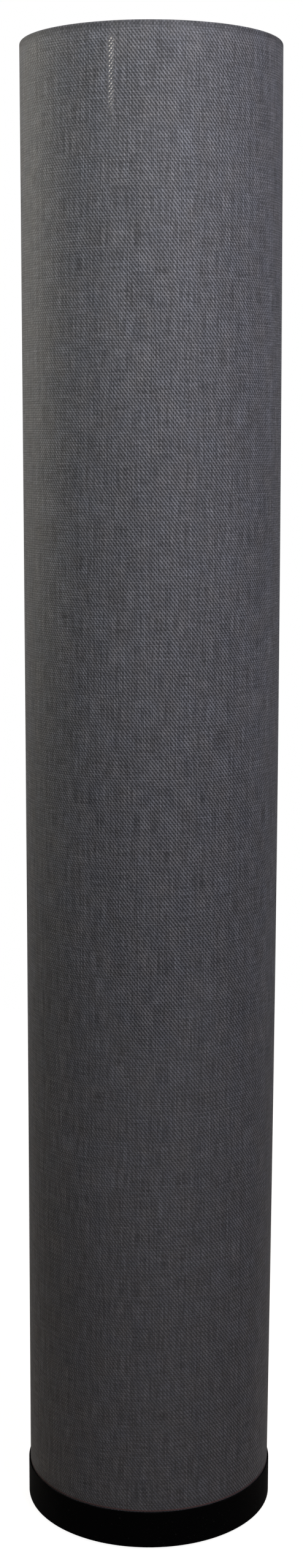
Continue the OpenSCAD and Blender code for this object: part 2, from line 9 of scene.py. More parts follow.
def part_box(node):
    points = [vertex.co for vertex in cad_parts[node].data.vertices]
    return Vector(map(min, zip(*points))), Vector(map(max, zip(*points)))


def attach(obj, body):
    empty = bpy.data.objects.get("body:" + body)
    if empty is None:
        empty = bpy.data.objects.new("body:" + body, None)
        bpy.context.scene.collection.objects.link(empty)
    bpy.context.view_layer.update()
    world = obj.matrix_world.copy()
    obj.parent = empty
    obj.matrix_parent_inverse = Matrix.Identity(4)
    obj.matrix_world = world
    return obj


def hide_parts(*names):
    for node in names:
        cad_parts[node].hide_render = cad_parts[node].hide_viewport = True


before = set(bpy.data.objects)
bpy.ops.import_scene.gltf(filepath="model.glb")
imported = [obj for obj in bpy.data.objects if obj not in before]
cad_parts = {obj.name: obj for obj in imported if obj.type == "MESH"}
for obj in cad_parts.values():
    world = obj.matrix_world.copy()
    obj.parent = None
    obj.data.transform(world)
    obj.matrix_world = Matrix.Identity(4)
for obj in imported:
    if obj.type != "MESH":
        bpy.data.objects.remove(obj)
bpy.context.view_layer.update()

# ---- The view ----
# A camera on a stand in front of the lamp, at three quarters of its height and tipped down, so that the
# whole lamp fills a tall narrow picture. It stands a thumb's breadth off centre and leans a hair.
eye = Vector((0.0158, -1.694, 0.9059))
lens_mm = 48.13
film_side_mm = 36.0
tip_down = math.radians(9.59)
turn_left = math.radians(0.492)
lean = math.radians(0.11)

camera = bpy.data.objects.new("camera", bpy.data.cameras.new("camera"))
camera.data.lens = lens_mm
camera.data.sensor_width = film_side_mm
camera.data.sensor_fit = "AUTO"
bpy.context.scene.collection.objects.link(camera)
camera.matrix_world = (Matrix.Translation(eye) @ Matrix.Rotation(turn_left, 4, "Z")
                       @ Matrix.Rotation(math.pi / 2 - tip_down, 4, "X") @ Matrix.Rotation(lean, 4, "Z"))
bpy.context.scene.camera = camera
bpy.context.scene.view_settings.view_transform = "Standard"


# ---- The studio ----
# A sheet of paper lies under the lamp, white to the camera, and the room behind is white. In front it is
# dark, so shiny pieces mirror little there. Two soft boxes hang high in front and one behind, a strip stands
# on the left, and a small square makes the glint in the cloth.
white = (1, 1, 1, 1)
paper_size = 3.0
paper_drop = 0.0003
paper_bounce = (0.24, 0.198, 0.152, 1)
paper_rough = 0.9
paper_sheen = 0.1
paper_glow = 0.945
paper_glow_far = 1.0
glow_grows = (0.2, 1.0)
room_fill = 0.01
dark_room = 0.01
room_turns = (-0.1, 0.35)
mirrored_share = 0.3


def add_node(tree, kind, inputs=None, **settings):
    """Adds a node. Each input takes a plain value, or another node's output."""
    made = tree.nodes.new(kind)
    for name, value in settings.items():
        setattr(made, name, value)
    for key, value in (inputs or {}).items():
        if isinstance(value, bpy.types.NodeSocket):
            tree.links.new(value, made.inputs[key])
        else:
            made.inputs[key].default_value = value
    return made


def maths(tree, operation, *values):
    """One sum on numbers or on other nodes' outputs."""
    return add_node(tree, "ShaderNodeMath", dict(enumerate(values)), operation=operation).outputs[0]


def rescale(tree, value, low, high, to_low, to_high):
    """Maps low..high to to_low..to_high, and holds the ends."""
    ends = {"Value": value, "From Min": low, "From Max": high, "To Min": to_low, "To Max": to_high}
    return add_node(tree, "ShaderNodeMapRange", ends).outputs["Result"]


def mix_colour(tree, share, first, second, way="MIX"):
    """The mixing node takes its share at socket 0 and two colours at 6 and 7, and gives a colour at 2."""
    inputs = {0: share, 6: first, 7: second}
    return add_node(tree, "ShaderNodeMix", inputs, data_type="RGBA", blend_type=way).outputs[2]


def mix_value(tree, share, first, second):
    """The same node takes two numbers at sockets 2 and 3, and gives a number at 0."""
    return add_node(tree, "ShaderNodeMix", {0: share, 2: first, 3: second}).outputs[0]


def seen_directly(tree):
    """1 for the camera's rays, a share of that for what shiny pieces mirror, 0 for light on the lamp."""
    rays = add_node(tree, "ShaderNodeLightPath").outputs
    seen = maths(tree, "MAXIMUM", rays["Is Camera Ray"], rays["Is Transmission Ray"])
    return maths(tree, "MAXIMUM", seen, maths(tree, "MULTIPLY", rays["Is Glossy Ray"], mirrored_share))


def make_paper():
    """A sheet that looks white to the camera and throws a little warm light back up at the lamp."""
    half = paper_size / 2
    mesh = bpy.data.meshes.new("paper_sheet")
    corners = [(-half, -half, -paper_drop), (half, -half, -paper_drop),
               (half, half, -paper_drop), (-half, half, -paper_drop)]
    mesh.from_pydata(corners, [], [(0, 1, 2, 3)])
    paper = bpy.data.objects.new("paper_sheet", mesh)
    bpy.context.scene.collection.objects.link(paper)
    material = bpy.data.materials.new("white_paper")
    material.use_nodes = True
    tree = material.node_tree
    shader = tree.nodes["Principled BSDF"]
    shader.inputs["Base Color"].default_value = paper_bounce
    shader.inputs["Roughness"].default_value = paper_rough
    shader.inputs["Specular IOR Level"].default_value = paper_sheen
    shader.inputs["Emission Color"].default_value = white
    spot = add_node(tree, "ShaderNodeTexCoord").outputs["Object"]
    away = add_node(tree, "ShaderNodeVectorMath", {0: spot}, operation="LENGTH").outputs["Value"]
    glow = rescale(tree, away, *glow_grows, paper_glow, paper_glow_far)
    glow = maths(tree, "MULTIPLY", seen_directly(tree), glow)
    tree.links.new(glow, shader.inputs["Emission Strength"])
    mesh.materials.append(material)


def make_room():
    """The room as the camera sees it, as shiny pieces mirror it, and as a faint fill light."""
    world = bpy.data.worlds.new("studio")
    world.use_nodes = True
    bpy.context.scene.world = world
    tree = world.node_tree
    background = tree.nodes["Background"]
    rays = add_node(tree, "ShaderNodeLightPath").outputs
    look = add_node(tree, "ShaderNodeTexCoord").outputs["Generated"]
    depth = add_node(tree, "ShaderNodeSeparateXYZ", {0: look}).outputs["Y"]
    behind = rescale(tree, depth, *room_turns, dark_room, mirrored_share)
    mirrored = maths(tree, "MULTIPLY", rays["Is Glossy Ray"], behind)
    seen = maths(tree, "MAXIMUM", rays["Is Camera Ray"], rays["Is Transmission Ray"])
    seen = maths(tree, "MAXIMUM", seen, mirrored)
    lit = maths(tree, "MULTIPLY", rays["Is Diffuse Ray"], room_fill)
    level = maths(tree, "MAXIMUM", seen, lit)
    tree.links.new(level, background.inputs["Strength"])
    background.inputs["Color"].default_value = white


def hang_lamp(name, azimuth, distance, height, aim_height, size, power, colour, beam=180):
    """A soft lamp aimed at the stem. Azimuth 0 is straight in front of it and 90 is to its right."""
    turn = math.radians(azimuth)
    data = bpy.data.lights.new(name, "AREA")
    data.shape = "RECTANGLE"
    data.size, data.size_y = size
    data.energy = power
    data.color = colour
    data.spread = math.radians(beam)
    lamp = bpy.data.objects.new(name, data)
    bpy.context.scene.collection.objects.link(lamp)
    lamp.location = (distance * math.sin(turn), -distance * math.cos(turn), height)
    towards = Vector((0, 0, aim_height)) - lamp.location
    lamp.rotation_euler = towards.to_track_quat("-Z", "Y").to_euler()
    lamp.visible_camera = False


make_paper()
make_room()
hang_lamp("high_box_right", azimuth=30, distance=1.4, height=2.0, aim_height=0.92, size=(0.5, 0.7),
          power=8.6, colour=(0.935, 0.92, 0.99), beam=90)
hang_lamp("near_box_left", azimuth=-30, distance=1.0, height=1.85, aim_height=1.15, size=(0.4, 0.5),
          power=1.2, colour=(0.95, 1.0, 0.9), beam=80)
hang_lamp("left_edge_strip", azimuth=-115, distance=1.3, height=1.35, aim_height=1.1, size=(0.3, 1.2),
          power=2.75, colour=(1.0, 0.95, 0.86), beam=90)
hang_lamp("small_square", azimuth=-33.4, distance=1.586, height=1.48, aim_height=1.15, size=(0.1, 0.22),
          power=1.25, colour=(1.0, 0.95, 0.85))
hang_lamp("back_box", azimuth=178, distance=1.4, height=1.9, aim_height=0.8, size=(0.6, 0.8),
          power=6.0, colour=(1.0, 0.97, 0.95), beam=110)


# ---- Base: the band and the deck ----
# The band is a rolled steel strip, its edges rounded over, welded round the rim of a flat steel deck disc
# that the shade stands on. Both are powder coated black. A lighter tone is painted along the band's two
# edges: partly paint rubbed by handling, partly a painted highlight on their rounded lips.
band_black = (0.0018, 0.0018, 0.002, 1)
# Lighter edge tone: partly rubbed paint, partly a painted highlight on the rounded lips.
band_rubbed_and_highlit = (0.012, 0.012, 0.0125, 1)
coat_black = (0.004, 0.004, 0.0045, 1)
dust_grey = (0.35, 0.34, 0.33, 1)
rub_and_highlight_width = 0.0012
coat_grain = 0.0007
coat_relief = 0.00002


def new_skin(name, takes, gives):
    """A shader group with named sockets. Returns the group, what comes in, and where its results go."""
    group = bpy.data.node_groups.new(name, "ShaderNodeTree")
    for socket, kind in takes.items():
        group.interface.new_socket(name=socket, in_out="INPUT", socket_type=f"NodeSocket{kind}")
    for socket, kind in gives.items():
        group.interface.new_socket(name=socket, in_out="OUTPUT", socket_type=f"NodeSocket{kind}")
    return group, add_node(group, "NodeGroupInput").outputs, add_node(group, "NodeGroupOutput").inputs


def lead_out(group, result, **values):
    """Leads each value to the group's output of that name, and returns the group."""
    for socket, value in values.items():
        group.links.new(value, result[socket])
    return group


def cloud(tree, place, scale, detail):
    """Cloudy noise, mostly from 0.3 to 0.7. A scale of 100 makes clouds about a centimetre wide."""
    inputs = {"Vector": place, "Scale": scale, "Detail": detail}
    return add_node(tree, "ShaderNodeTexNoise", inputs).outputs["Fac"]


def shade_by(tree, colour, level):
    """Makes a colour darker or lighter: a level of 1 leaves it as it is."""
    grey = add_node(tree, "ShaderNodeCombineXYZ", {0: level, 1: level, 2: level}).outputs[0]
    return mix_colour(tree, 1.0, colour, grey, "MULTIPLY")


def make_coat_skin():
    """Powder coat: a fine orange peel, a slow unevenness and a few dust flecks."""
    takes = {"Place": "Vector", "Colour": "Color", "Grain": "Float", "Roughness": "Float", "Dust": "Float"}
    gives = {"Colour": "Color", "Roughness": "Float", "Height": "Float"}
    group, given, result = new_skin("powder coat", takes, gives)
    peel = cloud(group, given["Place"], scale=maths(group, "DIVIDE", 1.0, given["Grain"]), detail=1.0)
    slow = cloud(group, given["Place"], scale=24.0, detail=3.0)
    fleck = rescale(group, cloud(group, given["Place"], scale=620.0, detail=0.0), 0.76, 0.82, 0.0, 1.0)
    colour = shade_by(group, given["Colour"], rescale(group, slow, 0.3, 0.7, 0.86, 1.14))
    dusty = maths(group, "MULTIPLY", fleck, given["Dust"])
    colour = mix_colour(group, dusty, colour, dust_grey)
    rough = maths(group, "ADD", given["Roughness"], rescale(group, slow, 0.3, 0.7, -0.05, 0.06))
    return lead_out(group, result, Colour=colour, Roughness=rough, Height=peel)


def finish(name, skin, values, relief, plain=None, place="Object"):
    """A material. Its skin group gives colour, roughness and relief. The plain values go on the shader."""
    material = bpy.data.materials.new(name)
    material.use_nodes = True
    tree = material.node_tree
    shader = tree.nodes["Principled BSDF"]
    for socket, value in (plain or {}).items():
        shader.inputs[socket].default_value = value
    spot = add_node(tree, "ShaderNodeTexCoord").outputs[place]
    layer = add_node(tree, "ShaderNodeGroup", node_tree=skin)
    tree.links.new(spot, layer.inputs["Place"])
    for socket, value in values.items():
        layer.inputs[socket].default_value = value
    tree.links.new(layer.outputs["Colour"], shader.inputs["Base Color"])
    tree.links.new(layer.outputs["Roughness"], shader.inputs["Roughness"])
    bump = add_node(tree, "ShaderNodeBump", {"Distance": relief, "Height": layer.outputs["Height"]})
    tree.links.new(bump.outputs[0], shader.inputs["Normal"])
    return material


def cover_with(material, *nodes):
    """Gives CAD nodes their finish."""
    for node in nodes:
        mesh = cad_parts[node].data
        mesh.materials.clear()
        mesh.materials.append(material)


def rub_and_highlight_edges(material, low, high):
    """Lets a lighter tone show along the band's two edges, broken up as wear is: partly rubbed paint, partly
    a painted highlight on the rounded lips.
    """
    tree = material.node_tree
    shader = tree.nodes["Principled BSDF"]
    coat = shader.inputs["Base Color"].links[0].from_socket
    spot = add_node(tree, "ShaderNodeTexCoord").outputs["Object"]
    height = add_node(tree, "ShaderNodeSeparateXYZ", {0: spot}).outputs["Z"]
    from_top = maths(tree, "ABSOLUTE", maths(tree, "SUBTRACT", height, high))
    from_foot = maths(tree, "ABSOLUTE", maths(tree, "SUBTRACT", height, low))
    near = rescale(tree, maths(tree, "MINIMUM", from_top, from_foot), 0.0, rub_and_highlight_width, 1.0, 0.0)
    broken = rescale(tree, cloud(tree, spot, scale=90.0, detail=4.0), 0.42, 0.68, 0.0, 0.8)
    worn_and_highlit = maths(tree, "MULTIPLY", near, broken)
    tree.links.new(mix_colour(tree, worn_and_highlit, coat, band_rubbed_and_highlit), shader.inputs["Base Color"])


coat_skin = make_coat_skin()
band_low, band_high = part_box("base_band")
band_values = {"Colour": band_black, "Grain": coat_grain, "Roughness": 0.7, "Dust": 0.03}
band_coat = finish("band_black_coat", coat_skin, band_values, coat_relief, {"Specular IOR Level": 0.02})
rub_and_highlight_edges(band_coat, band_low.z, band_high.z)
cover_with(band_coat, "base_band")
black_values = {"Colour": coat_black, "Grain": coat_grain, "Roughness": 0.4, "Dust": 0.1}
black_coat = finish("black_powder_coat", coat_skin, black_values, coat_relief, {"Specular IOR Level": 0.3})
cover_with(black_coat, "deck_plate")


# ---- Base: the weight and what holds it ----
# A grey iron casting hangs under the deck on a washer and nut, round the threaded lamp tube. It was sealed
# with a dark wash over its sandy cast skin. Four turned posts are welded beside it for the cover's screws.
iron_grey = (0.035, 0.035, 0.038, 1)
rust_brown = (0.07, 0.035, 0.02, 1)
pit_black = (0.01, 0.009, 0.009, 1)
zinc_grey = (0.55, 0.55, 0.53, 1)
dull_tone = (0.8, 0.78, 0.74, 1)
turned = (120.0, 120.0, 9000.0)
turned_relief = 0.00001


def make_cast_skin():
    """Sand cast iron: a pitted, grainy skin with rusty hollows under a dark wash."""
    takes = {"Place": "Vector", "Colour": "Color", "Grain": "Float", "Roughness": "Float"}
    gives = {"Colour": "Color", "Roughness": "Float", "Height": "Float"}
    group, given, result = new_skin("cast iron", takes, gives)
    sand = cloud(group, given["Place"], scale=maths(group, "DIVIDE", 1.0, given["Grain"]), detail=4.0)
    pits = rescale(group, cloud(group, given["Place"], scale=260.0, detail=1.0), 0.25, 0.4, 0.0, 1.0)
    warm = rescale(group, cloud(group, given["Place"], scale=45.0, detail=3.0), 0.5, 0.75, 0.0, 0.5)
    colour = mix_colour(group, warm, given["Colour"], rust_brown)
    colour = mix_colour(group, pits, pit_black, colour)
    height = maths(group, "ADD", maths(group, "MULTIPLY", sand, 0.5), maths(group, "MULTIPLY", pits, 0.5))
    rough = maths(group, "ADD", given["Roughness"], maths(group, "MULTIPLY", sand, 0.2))
    return lead_out(group, result, Colour=colour, Roughness=rough, Height=height)


def make_metal_skin():
    """Drawn, turned or plated metal with dull finger marks. Lines counts its fine lines a metre each way."""
    takes = {"Place": "Vector", "Lines": "Vector", "Colour": "Color", "Roughness": "Float", "Marks": "Float"}
    gives = {"Colour": "Color", "Roughness": "Float", "Height": "Float"}
    group, given, result = new_skin("worked metal", takes, gives)
    stretched = add_node(group, "ShaderNodeVectorMath", {0: given["Place"], 1: given["Lines"]},
                         operation="MULTIPLY").outputs[0]
    lines = cloud(group, stretched, scale=1.0, detail=4.0)
    touched = rescale(group, cloud(group, given["Place"], scale=55.0, detail=3.0), 0.45, 0.75, 0.0, 1.0)
    marks = maths(group, "MULTIPLY", touched, given["Marks"])
    colour = shade_by(group, given["Colour"], rescale(group, lines, 0.25, 0.75, 0.82, 1.1))
    dull = mix_colour(group, 1.0, colour, dull_tone, "MULTIPLY")
    colour = mix_colour(group, marks, colour, dull)
    rough = maths(group, "ADD", given["Roughness"], rescale(group, lines, 0.25, 0.75, -0.06, 0.08))
    rough = maths(group, "ADD", rough, maths(group, "MULTIPLY", marks, 0.18))
    return lead_out(group, result, Colour=colour, Roughness=rough, Height=lines)


cast_skin = make_cast_skin()
metal_skin = make_metal_skin()
iron_values = {"Colour": iron_grey, "Grain": 0.0011, "Roughness": 0.62}
iron = finish("cast_iron", cast_skin, iron_values, relief=0.00025, plain={"Metallic": 0.25})
cover_with(iron, "counterweight")
zinc_values = {"Lines": turned, "Colour": zinc_grey, "Roughness": 0.34, "Marks": 0.6}
zinc = finish("zinc_plate", metal_skin, zinc_values, turned_relief, {"Metallic": 1.0})
cover_with(zinc, "deck_posts", "weight_washer", "weight_nut", "base_nipple", "terminal_screws")


# ---- Base: cover, screws and feet ----
# A black powder coated sheet closes the underside, held by four cross-slotted zinc screws. Four moulded
# rubber feet are bonded to it and lift the band off the floor.
rubber_black = (0.018, 0.018, 0.019, 1)


def make_moulded_skin():
    """Moulded or extruded plastic, rubber and glaze: a faint pebble and a slow change of tone."""
    takes = {"Place": "Vector", "Colour": "Color", "Pebble": "Float", "Roughness": "Float"}
    gives = {"Colour": "Color", "Roughness": "Float", "Height": "Float"}
    group, given, result = new_skin("moulded skin", takes, gives)
    pebble = cloud(group, given["Place"], scale=maths(group, "DIVIDE", 1.0, given["Pebble"]), detail=2.0)
    slow = cloud(group, given["Place"], scale=30.0, detail=2.0)
    level = maths(group, "ADD", rescale(group, slow, 0.3, 0.7, 0.93, 1.03),
                  rescale(group, pebble, 0.3, 0.7, -0.03, 0.03))
    colour = shade_by(group, given["Colour"], level)
    rough = maths(group, "ADD", given["Roughness"], rescale(group, slow, 0.3, 0.7, -0.05, 0.07))
    return lead_out(group, result, Colour=colour, Roughness=rough, Height=pebble)


moulded_skin = make_moulded_skin()
cover_with(black_coat, "bottom_cover")
cover_with(zinc, "cover_screws")
rubber_values = {"Colour": rubber_black, "Pebble": 0.0009, "Roughness": 0.75}
rubber_relief = 0.00006
rubber = finish("moulded_rubber", moulded_skin, rubber_values, rubber_relief, {"Specular IOR Level": 0.35})
cover_with(rubber, "rubber_feet")


# ---- Base: cord inlet and terminal block ----
# A black nylon grommet lines the hole for the mains cord at the back of the band. The cord would end at the
# white terminal block inside, where small screws clamp its cores and the two leads.
nylon_white = (0.74, 0.73, 0.69, 1)
nylon_relief = 0.00003
grommet_values = {"Colour": rubber_black, "Pebble": 0.0006, "Roughness": 0.5}
grommet_black = finish("black_nylon", moulded_skin, grommet_values, nylon_relief, {"Specular IOR Level": 0.4})
cover_with(grommet_black, "cord_grommet")
nylon_values = {"Colour": nylon_white, "Pebble": 0.0008, "Roughness": 0.45}
nylon = finish("white_nylon", moulded_skin, nylon_values, nylon_relief, {"Subsurface Weight": 0.1})
cover_with(nylon, "terminal_block", "lead_grommets")


# ---- Stem ----
# Two drawn steel tubes, zinc plated and polished, screw together at a turned coupler above a turned foot. A
# shouldered plug closes the top and carries the stud for the shade.
stem_silver = (0.6, 0.6, 0.61, 1)
drawn = (3500.0, 3500.0, 4.0)
drawn_relief = 0.000003
stem_values = {"Lines": drawn, "Colour": stem_silver, "Roughness": 0.26, "Marks": 0.8}
stem_metal = finish("drawn_steel", metal_skin, stem_values, drawn_relief, {"Metallic": 1.0})
cover_with(stem_metal, "stem_lower", "stem_upper")
turned_values = {"Lines": turned, "Colour": stem_silver, "Roughness": 0.24, "Marks": 0.5}
turned_metal = finish("turned_steel", metal_skin, turned_values, turned_relief, {"Metallic": 1.0})
cover_with(turned_metal, "stem_foot", "stem_coupler", "shade_stud")


# ---- Arms ----
# Each lampholder stands on a short pressed steel arm with a collar round the stem, coated black and pinned by
# a small zinc screw.
cover_with(black_coat, "bracket_lower", "bracket_upper")
cover_with(zinc, "grub_screws")


# ---- Leads ----
# Two thin white sheathed leads run from the terminal block up inside the stem, leave it through nylon bushes
# and rise into their lampholders.
sheath_white = (0.7, 0.69, 0.66, 1)
sheath_values = {"Colour": sheath_white, "Pebble": 0.0012, "Roughness": 0.42}
sheath = finish("lead_sheath", moulded_skin, sheath_values, relief=0.00002, plain={"Subsurface Weight": 0.05})
cover_with(sheath, "lead_lower", "lead_upper")


# ---- Lampholders ----
# Black moulded cap and shell for a screw bulb, with a glazed ceramic core, a pressed brass thread and a
# sprung brass contact. A threaded tube and nut fix each one to its arm.
sides = ("lower", "upper")
holder_black = (0.016, 0.016, 0.017, 1)
ceramic_cream = (0.75, 0.72, 0.65, 1)
brass_yellow = (0.72, 0.5, 0.2, 1)
holder_values = {"Colour": holder_black, "Pebble": 0.0007, "Roughness": 0.36}
holder_plastic = finish("holder_plastic", moulded_skin, holder_values, relief=0.00002)
glaze_values = {"Colour": ceramic_cream, "Pebble": 0.002, "Roughness": 0.18}
glaze = finish("glazed_ceramic", moulded_skin, glaze_values, relief=0.00003, plain={"Coat Weight": 0.5})
brass_values = {"Lines": turned, "Colour": brass_yellow, "Roughness": 0.28, "Marks": 0.5}
brass = finish("pressed_brass", metal_skin, brass_values, turned_relief, {"Metallic": 1.0})
for side in sides:
    cover_with(holder_plastic, f"holder_cap_{side}", f"holder_shell_{side}")
    cover_with(zinc, f"holder_nipple_{side}", f"holder_nut_{side}")
    cover_with(glaze, f"holder_core_{side}")
    cover_with(brass, f"thread_shell_{side}", f"centre_contact_{side}")


# ---- Bulbs ----
# Screw bulbs with an opal plastic globe over a white moulded body that holds the chip board, and a nickel
# plated cap. Slim cooling ribs stand round the body, which flares from a short straight foot.
opal_white = (0.86, 0.86, 0.83, 1)
opal_glow = {"Subsurface Weight": 0.25, "Subsurface Radius": (0.02, 0.018, 0.016)}
body_white = (0.8, 0.8, 0.78, 1)
board_white = (0.72, 0.73, 0.72, 1)
nickel_grey = (0.62, 0.6, 0.56, 1)
bulb_ribs = 18
bulb_rib = (0.0016, 0.0014, 0.026)
body_straight = 0.008
body_radius = (0.01255, 0.024)
seam_gap = 0.000001


def make_rib_tree():
    """Slim raised ribs round an upright body, or weld beads round a frame. Each is a stretched ball."""
    tree = bpy.data.node_groups.new("ribs round a body", "GeometryNodeTree")
    tree.interface.new_socket(name="Geometry", in_out="INPUT", socket_type="NodeSocketGeometry")
    tree.interface.new_socket(name="Count", in_out="INPUT", socket_type="NodeSocketInt")
    for size in ("Start", "Radius", "Lean"):
        tree.interface.new_socket(name=size, in_out="INPUT", socket_type="NodeSocketFloat")
    for size in ("Centre", "Half Sizes"):
        tree.interface.new_socket(name=size, in_out="INPUT", socket_type="NodeSocketVector")
    tree.interface.new_socket(name="Material", in_out="INPUT", socket_type="NodeSocketMaterial")
    tree.interface.new_socket(name="Geometry", in_out="OUTPUT", socket_type="NodeSocketGeometry")
    given = add_node(tree, "NodeGroupInput").outputs

    # One point for each rib stands on a circle, and the first of them at the start angle.
    start = add_node(tree, "ShaderNodeCombineXYZ", {2: given["Start"]}).outputs[0]
    start = add_node(tree, "FunctionNodeEulerToRotation", {0: start}).outputs[0]
    circle = add_node(tree, "GeometryNodeMeshCircle", {"Vertices": given["Count"], "Radius": given["Radius"]})
    circle = add_node(tree, "GeometryNodeTransform", {"Geometry": circle.outputs[0], "Rotation": start})

    # Each rib is a ball stretched to its half sizes, turned to face outwards and leaned with the body.
    position = add_node(tree, "GeometryNodeInputPosition").outputs[0]
    spot = add_node(tree, "ShaderNodeSeparateXYZ", {0: position}).outputs
    outward = maths(tree, "ARCTAN2", spot["Y"], spot["X"])
    tilt = maths(tree, "MULTIPLY", given["Lean"], -1.0)
    heading = maths(tree, "SUBTRACT", outward, math.pi / 2)
    facing = add_node(tree, "ShaderNodeCombineXYZ", {0: tilt, 2: heading}).outputs[0]
    facing = add_node(tree, "FunctionNodeEulerToRotation", {0: facing}).outputs[0]
    ball = add_node(tree, "GeometryNodeMeshUVSphere", {"Segments": 8, "Rings": 6, "Radius": 1.0}).outputs[0]
    rib = add_node(tree, "GeometryNodeTransform", {"Geometry": ball, "Scale": given["Half Sizes"]}).outputs[0]
    stood = {"Points": circle.outputs[0], "Instance": rib, "Rotation": facing}
    ribs = add_node(tree, "GeometryNodeInstanceOnPoints", stood).outputs[0]
    placed = add_node(tree, "GeometryNodeTransform", {"Geometry": ribs, "Translation": given["Centre"]})

    # They join the ribs of the rings before.
    both = add_node(tree, "GeometryNodeJoinGeometry", {0: given["Geometry"]})
    tree.links.new(placed.outputs[0], both.inputs[0])
    smooth = add_node(tree, "GeometryNodeSetShadeSmooth", {0: both.outputs[0]}).outputs[0]
    real = add_node(tree, "GeometryNodeRealizeInstances", {0: smooth}).outputs[0]
    painted = add_node(tree, "GeometryNodeSetMaterial", {"Geometry": real, "Material": given["Material"]})
    add_node(tree, "NodeGroupOutput", {0: painted.outputs[0]})
    return tree


def stand_ribs(name, body, paint, *rings):
    """One mesh of ribs or beads for a body of the lamp. Each ring gives values for the tree's inputs."""
    piece = bpy.data.objects.new(name, bpy.data.meshes.new(name + "_start"))
    bpy.context.scene.collection.objects.link(piece)
    for ring in rings:
        modifier = piece.modifiers.new("ribs", "NODES")
        modifier.node_group = rib_tree
        for socket in rib_tree.interface.items_tree:
            if socket.in_out == "INPUT" and socket.name in ring:
                modifier[socket.identifier] = ring[socket.name]
    made = piece.evaluated_get(bpy.context.evaluated_depsgraph_get())
    mesh = bpy.data.meshes.new_from_object(made)
    piece.modifiers.clear()
    piece.data = mesh
    mesh.name = name
    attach(piece, body)


rib_tree = make_rib_tree()
opal_values = {"Colour": opal_white, "Pebble": 0.004, "Roughness": 0.36}
opal = finish("opal_plastic", moulded_skin, opal_values, relief=0.00002, plain=opal_glow)
body_values = {"Colour": body_white, "Pebble": 0.001, "Roughness": 0.3}
bulb_white = finish("bulb_plastic", moulded_skin, body_values, relief=0.00002)
board_values = {"Colour": board_white, "Pebble": 0.0015, "Roughness": 0.3}
mask_white = finish("board_mask", moulded_skin, board_values, relief=0.00001, plain={"Metallic": 0.2})
nickel_values = {"Lines": turned, "Colour": nickel_grey, "Roughness": 0.2, "Marks": 0.4}
nickel = finish("nickel_plate", metal_skin, nickel_values, turned_relief, {"Metallic": 1.0})
for side in sides:
    cover_with(opal, f"bulb_globe_{side}")
    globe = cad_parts[f"bulb_globe_{side}"]
    globe.data.attributes.remove(globe.data.attributes["custom_normal"])
    globe.modifiers.new("closed seams", "WELD").merge_threshold = seam_gap
    cover_with(bulb_white, f"bulb_body_{side}")
    cover_with(mask_white, f"bulb_board_{side}")
    cover_with(nickel, f"bulb_cap_{side}", f"bulb_tip_{side}")
    low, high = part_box(f"bulb_body_{side}")
    flare = math.atan2(body_radius[1] - body_radius[0], high.z - low.z - body_straight)
    middle = Vector(((low.x + high.x) / 2, (low.y + high.y) / 2, (low.z + body_straight + high.z) / 2))
    stand_ribs(f"bulb_ribs_{side}", f"bulb_{side}", "bulb_plastic",
               {"Count": bulb_ribs, "Start": 0.0, "Radius": sum(body_radius) / 2, "Lean": flare,
                "Centre": middle, "Half Sizes": Vector(bulb_rib) / 2, "Material": bulb_white})


# ---- Shade: frame and lining ----
# Two rings of round wire keep the shade in shape, and three cranked spokes carry the hub at the top one.
# They are welded, which leaves small beads at the ring and the hub, and coated white. A glossy white film
# lines the cloth from ring to ring.
wire_white = (0.74, 0.74, 0.71, 1)
film_white = (0.76, 0.75, 0.72, 1)
spoke_count = 3
back_degrees = 90
ring_bead = Vector((0.0019, 0.0011, 0.0015))
ring_bead_inset_in_wires = 1.55
hub_bead = Vector((0.0026, 0.0012, 0.0008))
hub_bead_radius = 0.0168
wire_values = {"Colour": wire_white, "Grain": 0.0009, "Roughness": 0.34, "Dust": 0.1}
frame_white = finish("white_wire_coat", coat_skin, wire_values, relief=0.00003)
cover_with(frame_white, "top_frame", "bottom_ring")
film_values = {"Colour": film_white, "Pebble": 0.03, "Roughness": 0.34}
lining = finish("lining_film", moulded_skin, film_values, relief=0.00002)
cover_with(lining, "shade_film")
ring_low, ring_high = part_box("bottom_ring")
wire_thick = ring_high.z - ring_low.z
ring_middle = Vector((0, 0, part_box("top_frame")[1].z - wire_thick / 2))
hub_middle = Vector((0, 0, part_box("finial")[0].z))
bead = {"Count": spoke_count, "Start": math.radians(back_degrees), "Lean": 0.0, "Material": frame_white}
ring_radius = ring_high.x - ring_bead_inset_in_wires * wire_thick
stand_ribs("frame_welds", "shade", "frame_wire",
           {**bead, "Radius": ring_radius, "Half Sizes": ring_bead, "Centre": ring_middle},
           {**bead, "Radius": hub_bead_radius, "Half Sizes": hub_bead, "Centre": hub_middle})


# ---- Shade: cloth sleeve ----
# One strip of charcoal linen-look cloth is glued round the film, lapped at the back, and rolled over both
# wires. Its top hem is slit for the spokes. Halfway up it bows out by a millimetre and leans a little right,
# as such long shades do.
cloth_t = 0.0005
warp_pitch = 0.00137
weft_pitch = 0.00177
yarn_wander = 0.15
lap_width = 0.012
lap_rise = 0.00032
bow_all_round = 0.001
bow_to_right = 0.0015
flat_near_wires = 0.02
slit_half = 0.0018
slit_from = math.radians(124)
roll_turn = math.radians(270)
sharp_turn = math.radians(50)
top_hem = 0.006
foot_hem = 0.0092
hem_fade = 0.001
# The hems are painted at this share of their brightness: painted shade along the rolled rims.
hem_painted_shade = 0.5
glue_width = 0.0012
glue_brown = (0.16, 0.08, 0.075, 1)
dark_yarn = (0.0815, 0.0815, 0.0875, 1)
light_yarn = (0.155, 0.155, 0.165, 1)
# The gaps are painted near black: painted shade, since the white film behind them lies in the yarns' shadow.
gap_painted_shade = (0.018, 0.018, 0.02, 1)
cool_dye = (0.96, 0.99, 1.06, 1)
warm_dye = (1.03, 1.0, 0.98, 1)
dye_spread = 0.12
warp_slub_steps = (17.3, 90.0)
weft_slub_steps = (120.0, 13.7)
weft_lots_from = 5000.0
front_from_seam = 0.543
columns = 300
straight_rows = 56
roll_rows = 14


